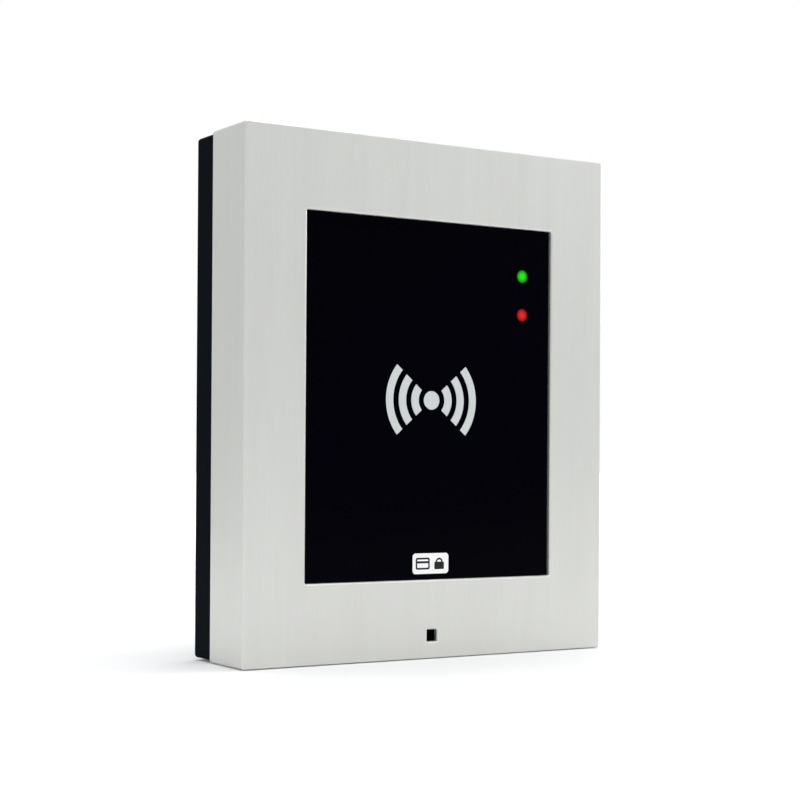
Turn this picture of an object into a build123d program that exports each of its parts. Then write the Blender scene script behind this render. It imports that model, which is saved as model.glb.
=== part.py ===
from build123d import *
import math
import os

os.makedirs("parts", exist_ok=True)

# Wall-mounted RFID card reader: a metal front frame that carries the reading module, hooked
# over a black plastic box on the wall. The wall plane is y = 0, the reader faces -Y, +Z is up,
# and the origin is the centre of the back. "Depth" is the distance in front of the wall.

# ---- driving dimensions, mm -------------------------------------------------------------
width = 107.0
height = 130.0
depth = 27.0

# metal front frame
skirt_depth = 17.4
frame_wall = 2.2
face_thick = 2.5
frame_corner = 0.6
edge_round = 0.35
opening_chamfer = 0.3
side_border = 16.8
end_border = 19.75

# window panel and what is set into it
glass_recess = 1.0
window_gap = 0.15
seal_thick = 0.5
panel_lip = 2.8
panel_lip_thick = 1.4
inlay_depth = 0.2
dot_radius = 2.35
wave_bands = [(3.85, 6.1), (7.6, 9.8), (11.4, 13.55)]
wave_half_angle = 40.5
badge_width = 10.8
badge_height = 5.2
badge_from_bottom = 4.05
led_radius = 1.65
led_from_side = 8.7
led_from_top = 12.25
led_pitch = 10.1

# square sound port in the bottom border
port_side = 3.0
port_from_bottom = 5.7
port_recess = 1.2

# reading module
housing_wall = 1.8
housing_ear = 3.0
ear_thick = 3.1
board_thick = 1.6
lens_room = 1.4
ferrite_thick = 0.4
link_room = 1.2
component_room = 5.6
cover_thick = 1.2
post_radius = 3.2
post_inset = 4.7

# wall box
box_inset = 0.35
box_wall = 3.4
box_floor = 2.2
spigot_reach = 3.15
seam = 0.15
wall_slot_spacing_x = 60.0
wall_slot_spacing_z = 88.0
wall_slot_width = 4.5
wall_slot_length = 8.0
cable_bore_radius = 4.0
cable_entry_z = 24.0

# hinge hooks and lock screws
hook_radius = 6.0
hook_thick = 1.2
hook_width = 12.0
hook_spacing = 64.0
lock_spacing = 60.0
lock_screw_radius = 1.5
lock_screw_length = 5.8
lock_travel = 3.5

# terminal block
poles = 8
pole_pitch = 3.5
plug_travel = 11.0

# tamper switch and reset button
tamper_stroke = 1.2
reset_stroke = 0.4

# named clearances
slide_gap = 0.3
part_gap = 0.2
running_gap = 0.08
tamper_gap = 0.1

# ---- levels and places that follow ------------------------------------------------------
rim = depth - skirt_depth
box_front = rim - seam
face_back = depth - face_thick
glass_front = depth - glass_recess
panel_shoulder = face_back - seal_thick
panel_back = panel_shoulder - panel_lip_thick
ear_back = panel_back - ear_thick
antenna_front = panel_back - lens_room
antenna_back = antenna_front - board_thick
ferrite_back = antenna_back - ferrite_thick
board_front = ferrite_back - link_room
board_back = board_front - board_thick
cover_front = board_back - component_room
cover_back = cover_front - cover_thick

window_width = width - 2 * side_border
window_height = height - 2 * end_border
panel_width = window_width + 2 * panel_lip
panel_height = window_height + 2 * panel_lip
housing_width = panel_width - 1.0
housing_height = panel_height - 1.0
ear_width = housing_width + 2 * housing_ear
ear_height = housing_height + 2 * housing_ear
board_width = housing_width - 2 * housing_wall - 2 * part_gap
board_height = housing_height - 2 * housing_wall - 2 * part_gap
post_x = housing_width / 2 - housing_wall - post_inset
post_z = housing_height / 2 - housing_wall - post_inset
posts = [(sx * post_x, sz * post_z) for sx in (-1, 1) for sz in (-1, 1)]

frame_inner_width = width - 2 * frame_wall
frame_inner_height = height - 2 * frame_wall
frame_floor_z = -frame_inner_height / 2
frame_ceiling_z = frame_inner_height / 2
box_width = width - 2 * box_inset
box_height = height - 2 * box_inset
box_inner_width = box_width - 2 * box_wall
box_inner_height = box_height - 2 * box_wall
port_z = -height / 2 + port_from_bottom

led_x = window_width / 2 - led_from_side
green_z = window_height / 2 - led_from_top
red_z = green_z - led_pitch
badge_z = -window_height / 2 + badge_from_bottom

hinge_z = height / 2
hook_outer_radius = hook_radius + hook_thick
hook_leg_top = frame_ceiling_z - 2.0
hook_screw_depth = face_back - 4.5
hook_screw_radius = 1.2
hook_back_angle = 55.0
hook_mid_radius = hook_radius + hook_thick / 2
hook_leg_drop = hinge_z - hook_leg_top + hook_thick / 2
hooks_x = [-hook_spacing / 2, hook_spacing / 2]

lock_boss_radius = 3.6
lock_boss_height = 4.0
lock_depth = rim + lock_boss_radius
lock_boss_top = frame_floor_z + lock_boss_height
pillar_bottom = lock_boss_top + 0.45
pillar_height = lock_travel + 1.4
pillar_half_width = 4.5
bush_radius = 3.0
locks_x = [-lock_spacing / 2, lock_spacing / 2]

clamp_post_x = ear_width / 2 + 4.5
clamp_post_z = 30.0
clamp_post_radius = 3.0
clamp_thick = 1.2

header_width = poles * pole_pitch + 2.0
header_bottom_z = -31.0
header_height = 12.0
header_depth = 8.2
header_wall = 0.8
header_back = board_back - header_depth
plug_head = 6.0
poles_x = [(i - (poles - 1) / 2) * pole_pitch for i in range(poles)]

tamper_x = -30.0
tamper_z = 33.0
tamper_body = 7.0
tamper_height = 5.0
tamper_tip = 6.1
plunger_radius = 1.3
reset_x = 22.0
reset_z = 33.0
reset_body = 6.0
reset_height = 3.5
reset_radius = 1.7
reset_proud = 0.3

slots = [(sx * wall_slot_spacing_x / 2, sz * wall_slot_spacing_z / 2)
         for sx in (-1, 1) for sz in (-1, 1)]


# ---- shapes used throughout -------------------------------------------------------------
def slab(wide, high, near, far, corner=0.0, x=0.0, z=0.0):
    """Plate parallel to the wall, from depth near to depth far."""
    outline = RectangleRounded(wide, high, corner) if corner else Rectangle(wide, high)
    return Pos(x, -near, z) * extrude(Plane.XZ * outline, far - near)


def disc(radius, near, far, x=0.0, z=0.0):
    """Round bar standing off the wall, from depth near to depth far."""
    return Pos(x, -near, z) * extrude(Plane.XZ * Circle(radius), far - near)


def upright(radius, low, high, x, at_depth):
    """Round bar along Z."""
    return Pos(x, -at_depth, low) * extrude(Circle(radius), high - low)


def block(x_low, x_high, near, far, z_low, z_high):
    """Box between two x, two depths and two z."""
    return slab(x_high - x_low, z_high - z_low, near, far, 0, (x_low + x_high) / 2, (z_low + z_high) / 2)


def cut_all(body, tools):
    """Body with each tool cut away."""
    for tool in tools:
        body = body - tool
    return body


def join_all(pieces):
    """One solid from touching pieces."""
    whole = pieces[0]
    for piece in pieces[1:]:
        whole = whole + piece
    return whole


def save(name, *pieces):
    """Write the node: one solid, or a group of separate like solids."""
    solids = [solid for piece in pieces for solid in piece.solids()]
    shape = solids[0] if len(solids) == 1 else Compound(solids)
    export_step(shape, f"parts/{name}.step")


def pan_screw(head_radius, head_high, shank_radius, shank_long):
    """Cross-head pan screw pointing along +Z, with the underside of its head at z = 0."""
    head = Pos(0, 0, -head_high) * extrude(Circle(head_radius), head_high)
    head = fillet(head.faces().sort_by(Axis.Z)[0].edges(), 0.45 * head_high)
    slot = Box(1.3 * head_radius, 0.28 * head_radius, head_high)
    cross = Pos(0, 0, -head_high) * (slot + Rot(0, 0, 90) * slot)
    return head - cross + extrude(Circle(shank_radius), shank_long)


def screw_forward(x, z, seat, head_radius, head_high, shank_radius, shank_long):
    """Pan screw driven away from the wall, with the underside of its head at depth seat."""
    screw = pan_screw(head_radius, head_high, shank_radius, shank_long)
    return Pos(x, -seat, z) * (Rot(90, 0, 0) * screw)


def screw_backward(x, z, seat, head_radius, head_high, shank_radius, shank_long):
    """Pan screw driven towards the wall, with the underside of its head at depth seat."""
    screw = pan_screw(head_radius, head_high, shank_radius, shank_long)
    return Pos(x, -seat, z) * (Rot(-90, 0, 0) * screw)


# ---- wall box ---------------------------------------------------------------------------
grommet_neck = 11.0
grommet_flange = 13.0
gasket_mid_inset = 5.0
gasket_wide = 2.4
gasket_deep = 1.0
clamp_bar_z = 5.0
clamp_bar_half = 12.0
cable_clamp_post = 2.6
clamp_bar_high = 3.1
clamp_ear_thick = 1.6
clamp_bar_far = cover_back - 0.5
clamp_bar_near = clamp_bar_far - clamp_bar_high
hook_rib_thick = 1.35
hook_rib_low = hinge_z - hook_radius + 0.5


def gasket_ring(inner_by, outer_by, near, far):
    """Rectangular ring centred on the gasket's line."""
    wide = box_width - 2 * gasket_mid_inset
    high = box_height - 2 * gasket_mid_inset
    outer = slab(wide + 2 * outer_by, high + 2 * outer_by, near, far, 2.0 + outer_by)
    inner = slab(wide - 2 * inner_by, high - 2 * inner_by, near, far, 2.0 - inner_by)
    return outer - inner


def hook_pocket(x):
    """Relief in the box's top wall that the tip of a hook swings in."""
    return block(x - hook_width / 2 - 0.5, x + hook_width / 2 + 0.5, box_floor, rim - 1.7,
                 box_inner_height / 2 - 1.0, box_inner_height / 2 + 1.4)


def lock_pillar(x):
    """Pillar that reaches over the frame's boss and holds the brass lock bush."""
    top = pillar_bottom + pillar_height
    arm = block(x - pillar_half_width, x + pillar_half_width, box_floor, lock_depth + 3.6,
                pillar_bottom, top)
    gusset = block(x - 1.5, x + 1.5, box_floor, box_front, -box_inner_height / 2, pillar_bottom)
    return arm + gusset - upright(bush_radius, pillar_bottom, top - 0.8, x, lock_depth)


def make_back_box():
    """Black moulded tray on the wall, with the spigot that the frame's skirt slides over."""
    shell = slab(box_width, box_height, 0, box_front, frame_corner + 0.4)
    shell = fillet(shell.faces().sort_by(Axis.Y)[-1].edges(), 0.5)
    spigot_width = frame_inner_width - 2 * slide_gap
    spigot_height = frame_inner_height - 2 * slide_gap
    spigot = slab(spigot_width, spigot_height, box_front, box_front + spigot_reach, 1.0)
    spigot = spigot - block(-width, width, 0, depth, box_inner_height / 2 - 7.0, height)
    for x in locks_x:
        spigot = spigot - block(x - 5.2, x + 5.2, 0, depth, -height, lock_boss_top + 1.0)
    hollow = slab(box_inner_width, box_inner_height, box_floor, depth, 1.0)
    rib = block(-box_inner_width / 2, box_inner_width / 2, box_front - hook_rib_thick, box_front,
                hook_rib_low, box_inner_height / 2)
    body = shell + spigot - hollow + rib
    body = cut_all(body, [hook_pocket(x) for x in hooks_x])
    body = join_all([body] + [lock_pillar(x) for x in locks_x])
    body = body + disc(3.0, box_floor, tamper_tip - tamper_gap, tamper_x, tamper_z)
    for x in (-clamp_bar_half + 3.5, clamp_bar_half - 3.5):
        body = body + disc(cable_clamp_post, box_floor, clamp_bar_near, x, clamp_bar_z)
        body = body - disc(0.9, box_floor - 1.0, clamp_bar_near, x, clamp_bar_z)
    for x, z in slots:
        body = body - slab(wall_slot_length, wall_slot_width, 0, box_floor,
                           wall_slot_width / 2 - 0.001, x, z)
    body = body - disc(grommet_neck, 0, box_floor, 0, cable_entry_z)
    body = body - disc(grommet_flange, 0, 0.8, 0, cable_entry_z)
    body = body - gasket_ring(gasket_wide / 2, gasket_wide / 2, 0, gasket_deep)
    knock_z = -box_height / 2
    knock = block(-8, 8, 2.4, 7.6, knock_z, knock_z + 0.5) - block(-7.4, 7.4, 3.0, 7.0, knock_z, 0)
    return body - knock


def make_grommet():
    """Rubber cable grommet snapped into the box's floor."""
    inside = box_floor + 1.2
    body = disc(grommet_neck, 0.1, inside, 0, cable_entry_z)
    body = body + disc(grommet_flange - part_gap, 0.1, 0.8, 0, cable_entry_z)
    body = body + disc(grommet_flange, box_floor, inside, 0, cable_entry_z)
    ring = disc(grommet_neck - 1.5, 2.4, inside, 0, cable_entry_z)
    ring = ring - disc(cable_bore_radius + 2.0, 2.4, inside, 0, cable_entry_z)
    return body - ring - disc(cable_bore_radius, 0, inside, 0, cable_entry_z)


def make_cable_clamp():
    """Strain-relief bar that arches over the cable below the grommet."""
    bar = slab(2 * clamp_bar_half, 6.0, clamp_bar_near, clamp_bar_far, 1.2, 0, clamp_bar_z)
    ear_face = clamp_bar_near + clamp_ear_thick
    for side in (-1, 1):
        edge = side * clamp_bar_half
        bar = bar - block(min(edge, edge - side * 7.2), max(edge, edge - side * 7.2), ear_face, depth,
                          clamp_bar_z - 4, clamp_bar_z + 4)
        bar = bar - disc(1.2, 0, depth, edge - side * 3.5, clamp_bar_z)
    arch = upright(3.0, clamp_bar_z - 4, clamp_bar_z + 4, 0, clamp_bar_near - 1.2)
    return bar - arch


# ---- metal front frame ------------------------------------------------------------------
def hook_pad(x):
    """Cast pad under the frame's top wall that a hook is screwed to."""
    return block(x - hook_width / 2 - 1, x + hook_width / 2 + 1, face_back - 8.5, face_back,
                 hook_leg_top, frame_ceiling_z)


def clamp_posts():
    """Centres of the four posts that the module clamps are screwed to."""
    return [(sx * clamp_post_x, sz * clamp_post_z) for sx in (-1, 1) for sz in (-1, 1)]


def make_front_frame():
    """Cast and brushed frame: a face with a window and a skirt all round."""
    body = slab(width, height, rim, depth, frame_corner)
    body = fillet(body.faces().sort_by(Axis.Y)[0].edges(), edge_round)
    body = body - slab(frame_inner_width, frame_inner_height, rim, face_back, 0.8)
    body = body - slab(window_width, window_height, face_back, depth, 0.4)
    body = body - slab(port_side, port_side, face_back, depth, 0, 0, port_z)
    openings = body.faces().sort_by(Axis.Y)[0].inner_wires()
    body = chamfer([edge for wire in openings for edge in wire.edges()], opening_chamfer)
    body = join_all([body] + [hook_pad(x) for x in hooks_x])
    for x in locks_x:
        body = body + upright(lock_boss_radius, frame_floor_z, lock_boss_top, x, lock_depth)
        body = body - upright(lock_screw_radius + running_gap, -height / 2, lock_boss_top, x, lock_depth)
    for x in hooks_x:
        body = body - upright(hook_screw_radius, hook_leg_top, height / 2 - 0.8, x, hook_screw_depth)
    for x, z in clamp_posts():
        body = body + disc(clamp_post_radius, ear_back, face_back, x, z)
        body = body - disc(1.2, ear_back, face_back - 0.5, x, z)
    return body


def make_hook(x):
    """Formed steel hook: a leg under the pad, and a tongue curved about the hinge line."""
    ring = Circle(hook_outer_radius) - Circle(hook_radius)
    far = 3 * hook_outer_radius
    back = math.radians(hook_back_angle)
    front = math.acos(hook_leg_drop / hook_mid_radius)
    fan = Polygon((0, 0), (far * math.sin(back), -far * math.cos(back)),
                  (-far * math.sin(front), -far * math.cos(front)), align=None)
    leg_start = -hook_mid_radius * math.sin(front) + 0.6
    leg_end = rim - face_back + 0.6
    leg = Pos((leg_start + leg_end) / 2, -hook_leg_drop) * Rectangle(leg_start - leg_end, hook_thick)
    profile = (ring & fan) + leg
    tongue = extrude(Plane.YZ * profile, hook_width / 2, both=True)
    return Pos(x, -rim, hinge_z) * tongue - upright(hook_screw_radius + 0.1, 0, height, x, hook_screw_depth)


def make_hook_screw(x):
    """Screw that holds a hook up against its pad."""
    screw = pan_screw(2.2, 1.3, hook_screw_radius, height / 2 - 1.0 - hook_leg_top + hook_thick)
    return Pos(x, -hook_screw_depth, hook_leg_top - hook_thick) * screw


def make_lock_screw(x):
    """Headless hex-socket screw in the frame's lower boss, backed off."""
    low = -height / 2 + 0.3
    body = upright(lock_screw_radius, low, low + lock_screw_length, x, lock_depth)
    body = chamfer(body.faces().sort_by(Axis.Z)[-1].edges(), 0.3)
    socket = Pos(x, -lock_depth, low) * extrude(RegularPolygon(0.85, 6), 1.8)
    return body - socket


# ---- window panel and its inlays --------------------------------------------------------
def inlay(outline, x=0.0, z=0.0):
    """Flat outline made into an inlay flush with the panel's front."""
    return Pos(x, -glass_front + inlay_depth, z) * extrude(Plane.XZ * outline, inlay_depth)


def wave_band(inner, outer, facing):
    """One arc of the contactless symbol, opening left or right."""
    far = 2 * outer
    half = math.radians(wave_half_angle)
    fan = Polygon((0, 0), (far * math.cos(half), far * math.sin(half)),
                  (far * math.cos(half), -far * math.sin(half)), align=None)
    return Rot(0, 0, facing) * ((Circle(outer) - Circle(inner)) & fan)


def make_symbol():
    """Centre dot with three arcs to each side."""
    bands = [inlay(wave_band(inner, outer, facing))
             for facing in (0, 180) for inner, outer in wave_bands]
    return [inlay(Circle(dot_radius))] + bands


def make_badge_marks():
    """Card and padlock pictograms on the badge."""
    card = RectangleRounded(4.2, 3.0, 0.5) - RectangleRounded(3.3, 2.1, 0.2)
    card = card + Pos(0, 0.35) * Rectangle(3.4, 0.55)
    lock = Pos(0, -0.55) * RectangleRounded(2.9, 1.9, 0.3)
    shackle = Circle(1.05) - Circle(0.6) - Pos(0, -1.0) * Rectangle(3.0, 2.0)
    lock = lock + Pos(0, 0.35) * shackle
    return [inlay(card, -2.35, badge_z), inlay(lock, 2.6, badge_z)]


def make_badge_plate():
    """Pale badge with rounded corners, opened where the marks are."""
    plate = inlay(RectangleRounded(badge_width, badge_height, 0.9), 0, badge_z)
    return cut_all(plate, make_badge_marks())


def make_window_panel():
    """Black-backed window: a face that fills the opening and a lip glued behind it."""
    body = slab(window_width - 2 * window_gap, window_height - 2 * window_gap,
                panel_shoulder, glass_front, 0.3)
    body = fillet(body.faces().sort_by(Axis.Y)[0].edges(), 0.12)
    body = body + slab(panel_width, panel_height, panel_back, panel_shoulder, 1.5)
    body = cut_all(body, make_symbol())
    body = body - inlay(RectangleRounded(badge_width, badge_height, 0.9), 0, badge_z)
    for z in (green_z, red_z):
        body = body - disc(led_radius, panel_back, glass_front, led_x, z)
    return body


def make_window_seal():
    """Rubber ring between the panel's lip and the back of the frame's face."""
    outer = slab(panel_width - 0.8, panel_height - 0.8, panel_shoulder, face_back, 1.2)
    return outer - slab(window_width + 0.4, window_height + 0.4, panel_shoulder, face_back, 0.6)


def make_lens(z):
    """Status lens: a rod through the panel with a collar behind it."""
    rod = disc(led_radius, panel_back, glass_front, led_x, z)
    return rod + disc(led_radius + 0.45, panel_back - 0.3, panel_back, led_x, z)


def make_light_shield():
    """Collar block that keeps each status light to its own lens."""
    body = slab(8.4, led_pitch + 8.4, antenna_front, panel_back, 1.0, led_x, (green_z + red_z) / 2)
    return cut_all(body, [disc(led_radius + 0.65, 0, depth, led_x, z) for z in (green_z, red_z)])


def make_status_leds():
    """Two light-emitting chips under the lenses."""
    return [slab(2.8, 1.9, antenna_front, antenna_front + 0.7, 0.2, led_x, z)
            for z in (green_z, red_z)]


# ---- reading module ---------------------------------------------------------------------
flex_half_width = 2.0
flex_thick = 0.3
flex_depth = board_back - 0.9
flex_z = port_z + 1.6
flex_socket_z = -board_height / 2 + 2.6


def make_housing():
    """Open black frame that carries both boards, with an ear all round for the clamps."""
    body = slab(housing_width, housing_height, cover_front, panel_back, 1.5)
    body = body + slab(ear_width, ear_height, ear_back, panel_back, 2.5)
    inner_width = housing_width - 2 * housing_wall
    inner_height = housing_height - 2 * housing_wall
    body = body - slab(inner_width, inner_height, cover_front, panel_back, 1.0)
    ledge = slab(inner_width, inner_height, antenna_back - 0.8, antenna_back, 1.0)
    body = body + (ledge - slab(inner_width - 2.4, inner_height - 2.4, 0, depth, 0.8))
    for x, z in posts:
        corner = block(min(x, x * 1.5), max(x, x * 1.5), board_front, antenna_front - 0.2,
                       min(z, z * 1.5), max(z, z * 1.5))
        corner = corner & slab(inner_width + 0.2, inner_height + 0.2, 0, depth)
        body = body + disc(post_radius, board_front, antenna_front - 0.2, x, z)
        body = body + (corner & disc(post_radius + 4.5, 0, depth, x, z))
        body = body - disc(1.1, board_front, antenna_front - 1.0, x, z)
    return body - block(-flex_half_width - 0.4, flex_half_width + 0.4, flex_depth - 0.4,
                        flex_depth + flex_thick + 0.4, -height, -inner_height / 2 + 0.1)


def corner_notches():
    """Clearance round the housing's corner posts."""
    notches = []
    for x, z in posts:
        reach = post_radius + 0.4
        notches.append(disc(reach, 0, depth, x, z))
        far_x = math.copysign(width, x)
        far_z = math.copysign(height, z)
        inner_x = x - math.copysign(reach, x)
        inner_z = z - math.copysign(reach, z)
        notches.append(block(min(x, far_x), max(x, far_x), 0, depth, min(inner_z, far_z), max(inner_z, far_z)))
        notches.append(block(min(inner_x, far_x), max(inner_x, far_x), 0, depth, min(z, far_z), max(z, far_z)))
    return notches


def make_antenna_board():
    """Front board, notched at its corners."""
    body = slab(board_width, board_height, antenna_back, antenna_front, 0.8)
    return cut_all(body, corner_notches())


coil_width = 44.0
coil_height = 64.0
coil_turns = 4
coil_pitch = 1.5
track_width = 0.8
track_thick = 0.1


def make_antenna_coil():
    """Rectangular spiral of copper track on the front board."""
    half_x = coil_width / 2
    half_z = coil_height / 2
    runs = []
    for turn in range(coil_turns):
        left = -half_x + turn * coil_pitch
        right = half_x - turn * coil_pitch
        low = -half_z + turn * coil_pitch
        high = half_z - turn * coil_pitch
        runs += [((left, high), (right, high)), ((right, high), (right, low)),
                 ((right, low), (left + coil_pitch, low)), ((left + coil_pitch, low), (left + coil_pitch, high - coil_pitch))]
    tracks = []
    for (x_a, z_a), (x_b, z_b) in runs:
        grow = track_width / 2
        tracks.append(block(min(x_a, x_b) - grow, max(x_a, x_b) + grow, antenna_front,
                            antenna_front + track_thick, min(z_a, z_b) - grow, max(z_a, z_b) + grow))
    return join_all(tracks)


def make_main_board():
    """Rear board, resting on the housing's posts, with holes for the cover screws."""
    body = slab(board_width, board_height, board_back, board_front, 0.8)
    return cut_all(body, [disc(1.5, board_back, board_front, x, z) for x, z in posts])


def on_board(wide, high, tall, x, z, corner=0.2):
    """Component that stands on the main board's back."""
    return slab(wide, high, board_back - tall, board_back, corner, x, z)


def make_capacitors():
    """Three aluminium electrolytic capacitors."""
    cans = []
    for z in (10.0, 3.0, -4.0):
        can = disc(2.6, board_back - 5.2, board_back - 0.6, 27.0, z)
        can = fillet(can.faces().sort_by(Axis.Y)[-1].edges(), 0.5)
        cans.append(can + on_board(5.8, 5.8, 0.6, 27.0, z))
    return cans


def make_chip_resistors():
    """Rows of chip resistors and capacitors."""
    chips = [on_board(1.2, 2.0, 0.6, -27.0 + 2.4 * i, 24.0) for i in range(8)]
    chips += [on_board(2.0, 1.2, 0.6, -30.0, 12.0 - 2.4 * i) for i in range(10)]
    return chips + [on_board(1.2, 2.0, 0.6, 14.0 + 2.4 * i, -38.0) for i in range(7)]


def make_board_link():
    """Header bar that joins the two boards."""
    return slab(20.4, 2.5, board_front, antenna_back, 0, 0, 38.5)


def make_back_cover():
    """Rear cover of the module, open over the terminals, with bosses that clamp the board."""
    body = slab(housing_width, housing_height, cover_back, cover_front, 1.5)
    body = fillet(body.faces().sort_by(Axis.Y)[-1].edges(), 0.4)
    mouth_low = header_bottom_z - 1.0
    mouth_high = header_bottom_z + header_height + plug_head + plug_travel + 3.0
    half = header_width / 2 + 2.0
    body = body - slab(2 * half, mouth_high - mouth_low, cover_back, cover_front, 1.0,
                       0, (mouth_low + mouth_high) / 2)
    body = body - disc(plunger_radius + 0.5, 0, depth, tamper_x, tamper_z)
    body = body - disc(reset_radius + part_gap, 0, depth, reset_x, reset_z)
    for x, z in posts:
        body = body + disc(post_radius, cover_front, board_back, x, z)
        body = body - disc(2.4, cover_back, cover_back + 1.6, x, z)
        body = body - disc(1.3, cover_back, board_back, x, z)
    for i in range(7):
        body = body - slab(1.2, 14.0, cover_back, cover_back + 0.4, 0.5, -6.0 + 2.0 * i, 26.0)
    return body


def make_module_clamp(side):
    """Steel strip that holds the module's ear down on the frame's posts."""
    inner = housing_width / 2 + 0.4
    outer = clamp_post_x + clamp_post_radius
    high = 2 * clamp_post_z + 10.0
    body = slab(outer - inner, high, ear_back - clamp_thick, ear_back, 1.5, side * (inner + outer) / 2, 0)
    body = body - slab(3.0, high - 30.0, 0, depth, 1.4, side * (clamp_post_x - 0.3), 0)
    return cut_all(body, [disc(1.4, 0, depth, side * clamp_post_x, z) for z in (-clamp_post_z, clamp_post_z)])


# ---- sound port -------------------------------------------------------------------------
boot_width = 9.0
boot_height = 6.4
boot_depth = 4.0
sounder_width = 6.8
sounder_height = 4.4
sounder_thick = 2.7


def make_port_boot():
    """Rubber boot whose square nose fills the port, set back from the face."""
    back = face_back - boot_depth
    nose = port_side - part_gap
    body = slab(boot_width, boot_height, back, face_back, 0.8, 0, port_z)
    body = body + slab(nose, nose, face_back, depth - port_recess, 0, 0, port_z)
    body = body - slab(sounder_width, sounder_height, back, back + sounder_thick + 0.3, 0.3, 0, port_z)
    return body - disc(0.6, 0, depth, 0, port_z)


def make_sounder():
    """Flat piezo sounder in the boot."""
    back = face_back - boot_depth
    return slab(sounder_width, sounder_height, back, back + sounder_thick, 0.3, 0, port_z)


def make_port_membrane():
    """Fine membrane between the sounder and the port."""
    back = face_back - boot_depth + sounder_thick
    return slab(4.0, 3.6, back, back + 0.2, 0.2, 0, port_z)


def make_sounder_flex():
    """Flat lead from the sounder to its socket on the main board."""
    half = flex_half_width
    back = face_back - boot_depth
    out = block(-half, half, flex_depth, back, flex_z, flex_z + flex_thick)
    up = block(-half, half, flex_depth, flex_depth + flex_thick, flex_z, flex_socket_z - 0.5)
    return out + up


def make_flex_socket():
    """Socket for the sounder's lead, open at the bottom."""
    body = on_board(6.0, 3.4, 1.6, 0, flex_socket_z)
    slot = block(-flex_half_width - 0.1, flex_half_width + 0.1, flex_depth - 0.1,
                 flex_depth + flex_thick + 0.1, -height, flex_socket_z - 0.4)
    return body - slot


# ---- terminal block ---------------------------------------------------------------------
def make_header():
    """Board half of the pluggable terminal block, open at the top."""
    low = header_bottom_z
    high = low + header_height
    body = block(-header_width / 2, header_width / 2, header_back, board_back, low, high)
    cavity = block(-header_width / 2 + header_wall, header_width / 2 - header_wall,
                   header_back + header_wall, board_back - header_wall, low + 1.6, high)
    for x in poles_x:
        body = body - block(x - 0.4, x + 0.4, pin_depth - 0.4, pin_depth + 0.4, low, low + 1.6)
        body = body - block(x - 0.7, x + 0.7, header_back, header_back + header_wall, low + 5.5, high)
    return body - cavity


pin_depth = (header_back + board_back) / 2


def make_header_pins():
    """Square pins that stand up inside the header."""
    low = header_bottom_z
    return [block(x - 0.4, x + 0.4, pin_depth - 0.4, pin_depth + 0.4, low, low + 9.0)
            for x in poles_x]


def make_terminal_plug():
    """Wire half of the terminal block, which pulls out upwards."""
    half = header_width / 2 - header_wall - part_gap
    near = header_back + header_wall + part_gap
    far = board_back - header_wall - part_gap
    seat = header_bottom_z + 1.6 + part_gap
    shoulder = header_bottom_z + header_height + part_gap
    top = shoulder + plug_head
    body = block(-half, half, near, far, seat, shoulder)
    body = body + block(-half - 0.6, half + 0.6, near - 0.6, far, shoulder, top)
    for x in poles_x:
        body = body - block(x - 0.6, x + 0.6, pin_depth - 0.6, pin_depth + 0.6, seat, seat + 8.2)
        body = body - block(x - 1.2, x + 1.2, pin_depth - 1.2, pin_depth + 1.2, top - 2.6, top)
        body = body - disc(1.25, near - 0.6, near + 1.2, x, shoulder + 2.0)
    return body


def make_terminal_screws():
    """Slotted clamping screws, one over each pole."""
    near = header_back + header_wall + part_gap - 0.2
    screws = []
    for x in poles_x:
        z = header_bottom_z + header_height + part_gap + 2.0
        screw = disc(1.25, near, near + 0.8, x, z)
        screws.append(screw - slab(0.4, 2.6, near, near + 0.4, 0, x, z))
    return screws


# ---- tamper switch and reset button -----------------------------------------------------
chamber_near = board_back - tamper_height + 0.7
chamber_far = board_back - 0.2
collar_near = chamber_near + tamper_stroke + 0.2
collar_thick = 0.6
spring_wire = 0.12


def make_tamper_switch():
    """Switch body with the chamber that the plunger's collar slides in."""
    body = on_board(tamper_body, tamper_body, tamper_height, tamper_x, tamper_z, 0.4)
    body = body - disc(2.5, chamber_near, chamber_far, tamper_x, tamper_z)
    return body - disc(plunger_radius + running_gap, 0, chamber_near, tamper_x, tamper_z)


def make_tamper_plunger():
    """Plunger, pressed in by the post on the wall box while the reader is shut."""
    far = collar_near + collar_thick
    rod = disc(plunger_radius, tamper_tip, far, tamper_x, tamper_z)
    rod = fillet(rod.faces().sort_by(Axis.Y)[-1].edges(), 0.5)
    return rod + disc(2.3, collar_near, far, tamper_x, tamper_z)


def make_tamper_spring():
    """Small coil spring behind the plunger's collar."""
    start = collar_near + collar_thick + 2 * spring_wire
    long = chamber_far - start - 2 * spring_wire
    path = Helix(pitch=long / 3, height=long, radius=1.5)
    wire = sweep(Plane(path @ 0, z_dir=path % 0) * Circle(spring_wire), path=path)
    return Pos(tamper_x, -start, tamper_z) * (Rot(90, 0, 0) * wire)


def make_reset_body():
    """Push switch on the board."""
    body = on_board(reset_body, reset_body, reset_height, reset_x, reset_z, 0.5)
    return body - disc(reset_radius + running_gap, 0, board_back - 1.6, reset_x, reset_z)


def make_reset_cap():
    """Push-button cap, reached through the cover."""
    far = board_back - 1.6 - reset_stroke - 0.3
    cap = disc(reset_radius, cover_back - reset_proud, far, reset_x, reset_z)
    return fillet(cap.faces().sort_by(Axis.Y)[-1].edges(), 0.3)


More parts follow.
